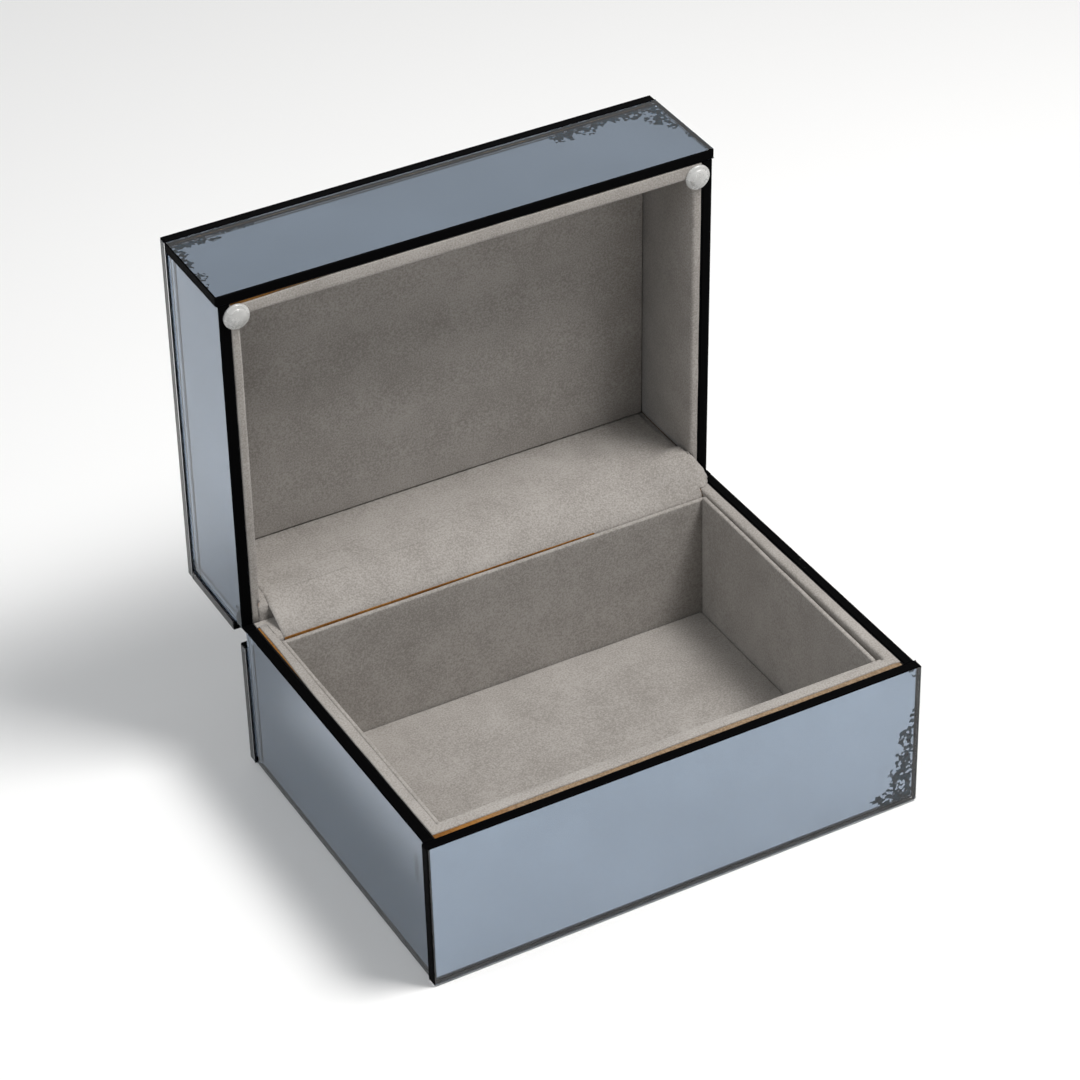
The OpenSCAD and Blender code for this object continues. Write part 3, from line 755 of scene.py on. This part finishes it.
# toward the left end the cloth draws back from the front edge and leaves the board bare
bare = [clamp((-55 * MM - b[0]) / (30 * MM)) for a, b, d in stations]
stations = [(a, Vector((b[0], b[1] + 1.0 * MM * t, 0)), d) for (a, b, d), t in zip(stations, bare)]
bm = lipped(stations, [mean] + [lw_front] * (len(stations) - 2) + [mean], **shared)
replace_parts(piece("lid_lining_front_cloth", bm, SUEDE, "lid", OPENED), "lid_lining_front")
for side, name in ((-1, "left"), (1, "right")):
    start = ((side * lin_x, lin_y, 0), (side * lout_x, lout_y, 0), 1)
    stop = ((side * lin_x, back_y, 0), (side * lout_x, back_y, 0), 1)
    stations = leg(start, stop, pitch) + [stop]
    widths = [mean] + [lw_side] * (len(stations) - 1) + [lw_side - skin] * 3
    # past the back card only a thin skin of cloth is left
    stations += [((side * (lin_x + skin), y, 0), (side * lout_x, y, 0), 0.02)
                 for y in (back_y + 0.02 * MM, (back_y + hinge_end) / 2, hinge_end)]
    bm = lipped(stations, widths, seed=side * 2.0, **shared)
    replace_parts(piece(f"lid_lining_{name}_cloth", bm, SUEDE, "lid", OPENED), f"lid_lining_{name}")

for i, node in enumerate(("lid_card_top", "lid_card_back")):
    lo, hi = shut_box(node)
    bm = soft_block(lo, hi, 0.8 * MM, 5 * MM, wobble=0.13 * MM, seed=4.0 + i)
    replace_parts(piece(node + "_cloth", bm, SUEDE, "lid", OPENED), node)

# soft bumpers: a milky dome standing out of a clear foot, as (share of radius, share of height)
DOME = ((0.0, 1.0), (0.18, 0.995), (0.36, 0.97), (0.52, 0.90), (0.64, 0.79), (0.70, 0.66), (0.73, 0.56),
        (0.79, 0.52), (0.90, 0.47), (0.97, 0.36), (1.0, 0.2), (1.0, 0.0), (0.0, 0.0))
TURN = 48
for node in ("bumper_left", "bumper_right"):
    lo, hi = shut_box(node)
    mid = (lo + hi) / 2
    radius, tall = (hi.x - lo.x) / 2, hi.z - lo.z
    bm = bmesh.new()
    rings = []
    for r, h in DOME:
        spin = [i / TURN * math.tau for i in range(TURN)] if r else [0.0]
        rings.append([bm.verts.new((mid.x + radius * r * math.cos(q), mid.y + radius * r * math.sin(q),
                                    hi.z - tall * h)) for q in spin])
    for r0, r1 in zip(rings, rings[1:]):
        for i in range(TURN):
            j = (i + 1) % TURN
            if len(r0) == 1:
                bm.faces.new((r0[0], r1[i], r1[j]))
            elif len(r1) == 1:
                bm.faces.new((r0[i], r1[0], r0[j]))
            else:
                bm.faces.new((r0[i], r1[i], r1[j], r0[j]))
    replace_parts(piece(node + "_dome", bm, BUMPER, "lid", OPENED), node)

# ---------------------------------------------------------------- the cloth strip over the hinge line

on_card = lid_card.y - cloth / 2
tuck_y = back_lo.y - cloth / 2


def lid_point(y, z):
    """A point of the shut lid's section, as (y, z) with the lid open."""
    p = OPENED @ Vector((0, y, z))
    return Vector((p.y, p.z))


def bezier(p0, p1, p2, p3, t):
    return p0 * (1 - t) ** 3 + p1 * 3 * t * (1 - t) ** 2 + p2 * 3 * t * t * (1 - t) + p3 * t ** 3


seam = lid_point(on_card, under)
take_off = lid_point(on_card, lid_card.z + 4 * MM)
over = Vector((back_lo.y + bevel, board_top + 0.45 * MM))
dive = Vector((tuck_y, board_top - bevel - 0.6 * MM))
# rows up to FREE are glued to the lid's card, and rows from FREE to CORNER hang free
FREE = 16
CORNER = FREE + 22
spine = [seam.lerp(take_off, i / FREE) for i in range(FREE)]
sag = (take_off, take_off + Vector((-4.4 * MM, 0)), over + Vector((4.6, 3.4)) * MM, over)
spine += [bezier(*sag, i / (CORNER - FREE)) for i in range(CORNER - FREE)]
spine += [bezier(over, over - Vector((0.9, 0.75)) * MM, dive + Vector((0, 0.6 * MM)), dive, i / 5)
          for i in range(5)]
spine += [dive.lerp(Vector((tuck_y, strip_lo.z)), i / 5) for i in range(6)]
x0, x1 = strip_end, in_x - 0.25 * MM
cols = [x0 + (x1 - x0) * i / 120 for i in range(121)]
bm = bmesh.new()
rows = []
# by share of the free length: how much the right end puffs up, and how far it flares, in millimetres
PUFF = [(-0.4, 0.0), (0.0, 0.35), (0.15, 0.75), (0.35, 1.0), (0.5, 1.0), (0.62, 0.8), (0.74, 0.5),
        (0.86, 0.2), (1.0, 0.0), (9.0, 0.0)]
FLARE = [(0.30, 0.0), (0.42, 0.7), (0.50, 2.8), (0.60, 5.2), (0.72, 5.4), (0.84, 4.5), (0.93, 3.2),
         (1.0, 2.0), (9.0, 2.0)]
PUFF_HEIGHT = 4.2


def along(table, share):
    """The table's value at a share of the free length, in metres."""
    for (a, va), (b, vb) in zip(table, table[1:]):
        if share <= b:
            return (va + (vb - va) * max(0.0, (share - a) / (b - a))) * MM
    return 0.0


for s, (y, z) in enumerate(spine):
    row = []
    puffed = along(PUFF, (s - FREE) / (CORNER - FREE))
    loose = math.sin(math.pi * clamp((s - FREE + 6) / (CORNER - FREE + 6)))
    for x in cols:
        right = max(0.0, (x - 55 * MM) / (35 * MM))
        lift = 0.35 * MM * noise.noise(Vector((x / (30 * MM), s / 9, 0.3))) * loose
        lift += 0.5 * MM * right * loose * noise.noise(Vector((x / (8 * MM) + s / 10, s / 5, 7.1)))
        lift += PUFF_HEIGHT * puffed * smooth(clamp((x - 60 * MM) / (x1 - 60 * MM)))
        row.append(bm.verts.new((x, y - 0.3 * lift, z + lift)))
    rows.append(row)
bridge(bm, rows)
# the loose right end flares over the rims, then draws in again to the base's bevel
lying = wrap_hi.z + 0.3 * MM
clear_of_lid = lid_rim_y - 0.35 * MM
ear = []
for s in range(FREE + 7, CORNER + 1):
    t = (s - FREE) / (CORNER - FREE)
    reach = along(FLARE, t)
    edge = rows[s][-1].co
    fall = clamp((t - 0.44) / 0.2)
    edge_z = edge.z + (max(spine[s][1] - 1.4 * MM, lying) - edge.z) * fall
    line = [rows[s][-1]]
    for i in range(1, 7):
        f = i / 6
        ragged = 0.3 * MM * noise.noise(Vector((s * 0.9, f, 3.3))) * f
        bow = f * f * (1.6 - 0.6 * f)
        x = edge.x + reach * f + ragged + 0.02 * MM * i
        y = min(edge.y, clear_of_lid) * f + edge.y * (1 - f) - 0.3 * MM * f * fall
        line.append(bm.verts.new((x, y, max(edge.z + (edge_z - edge.z) * bow, lying))))
    ear.append(line)
bridge(bm, ear)
bmesh.ops.recalc_face_normals(bm, faces=bm.faces)
bmesh.ops.solidify(bm, geom=bm.faces[:], thickness=cloth * 0.9)
strip = piece("hinge_strip_cloth", bm, SUEDE, None)
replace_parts(strip, "hinge_strip")
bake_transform(strip, "base", "lid", start=(0, over.x, over.y), end=(0, *lid_point(on_card, lid_rim + 0.3 * MM)))

# ---------------------------------------------------------------- floor, light, camera


def floor_material():
    n = Net(bpy.data.materials.new("floor"))
    at = n.spot()
    tone = n.noise(at, 3.0, 2.0)
    colour = n.mix(tone, (0.91, 0.91, 0.91), (0.93, 0.93, 0.93))
    return n.surface(Base__Color=colour, Roughness=0.9, Specular__IOR__Level=0.05)


bm = bmesh.new()
bmesh.ops.create_grid(bm, x_segments=4, y_segments=4, size=12.0)
piece("floor", bm, floor_material(), None)

# the studio: white walls, each lit by its own amount, and an open ceiling
FACING = {"front": (-0.477, -0.879), "back": (0.477, 0.879),
          "right": (0.879, -0.477), "left": (-0.879, 0.477)}
WALLS = {"front": 0.17, "back": 0.78, "right": 0.50, "left": 0.98}
CEILING = 0.19


def studio():
    """The world: each wall's brightness by direction, giving way to the ceiling's higher up."""
    n = Net(bpy.data.worlds.new("studio"))
    x, y, z = n.add("SeparateXYZ", {0: n.add("TexCoord").outputs["Generated"]}).outputs[:3]
    flat = n.math("SQRT", n.math("ADD", n.math("MULTIPLY", x, x), n.math("MULTIPLY", y, y)))
    flat = n.math("MAXIMUM", flat, 0.001)
    level = None
    for wall, (fx, fy) in FACING.items():
        toward = n.math("ADD", n.math("MULTIPLY", x, fx), n.math("MULTIPLY", y, fy))
        facing = n.math("MAXIMUM", n.math("DIVIDE", toward, flat), 0.0)
        share = n.math("MULTIPLY", n.math("MULTIPLY", facing, facing), WALLS[wall])
        level = share if level is None else n.math("ADD", level, share)
    up = n.ease(z, 0.45, 0.9)
    below = n.math("MULTIPLY", n.math("SUBTRACT", 1.0, up), level)
    level = n.math("ADD", n.math("MULTIPLY", up, CEILING), below)
    back = n.add("Background", {"Color": (0.985, 0.995, 1.0, 1), "Strength": level})
    n.tree.links.new(back.outputs[0], n.add("OutputWorld").inputs[0])
    return n.owner


scene.world = studio()


def softbox(name, where, aim, size, power, colour):
    light = bpy.data.lights.new(name, "AREA")
    light.shape = "RECTANGLE"
    light.size, light.size_y = size
    light.energy = power
    light.color = colour
    obj = bpy.data.objects.new(name, light)
    scene.collection.objects.link(obj)
    obj.location = where
    obj.rotation_mode = "QUATERNION"
    obj.rotation_quaternion = (Vector(aim) - Vector(where)).to_track_quat("-Z", "Y")


softbox("key", (0.45, -0.35, 1.25), (0, 0, 0.06), (0.45, 0.45), 16.2, (1.0, 0.985, 0.965))
softbox("fill", (-0.95, -0.15, 1.15), (0, 0, 0.06), (0.7, 0.7), 4.0, (0.95, 0.98, 1.0))

# the photo's camera: place, direction of view and roll in degrees, lens in millimetres
EYE, AZIMUTH, ELEVATION, ROLL, LENS = Vector((-0.5105, -0.928, 0.8528)), -28.16, 35.08, -1.7, 121.86
a, e = math.radians(AZIMUTH), math.radians(ELEVATION)
toward = Vector((math.sin(a) * math.cos(e), -math.cos(a) * math.cos(e), math.sin(e)))
cam = bpy.data.objects.new("camera", bpy.data.cameras.new("camera"))
scene.collection.objects.link(cam)
cam.data.lens = LENS
cam.data.sensor_width = 36.0
cam.location = EYE
cam.rotation_mode = "QUATERNION"
roll = Matrix.Rotation(math.radians(ROLL), 3, "Z").to_quaternion()
cam.rotation_quaternion = (-toward).to_track_quat("-Z", "Y") @ roll
cam.data.clip_start, cam.data.clip_end = 0.01, 50
scene.camera = cam
scene.view_settings.view_transform = "Standard"
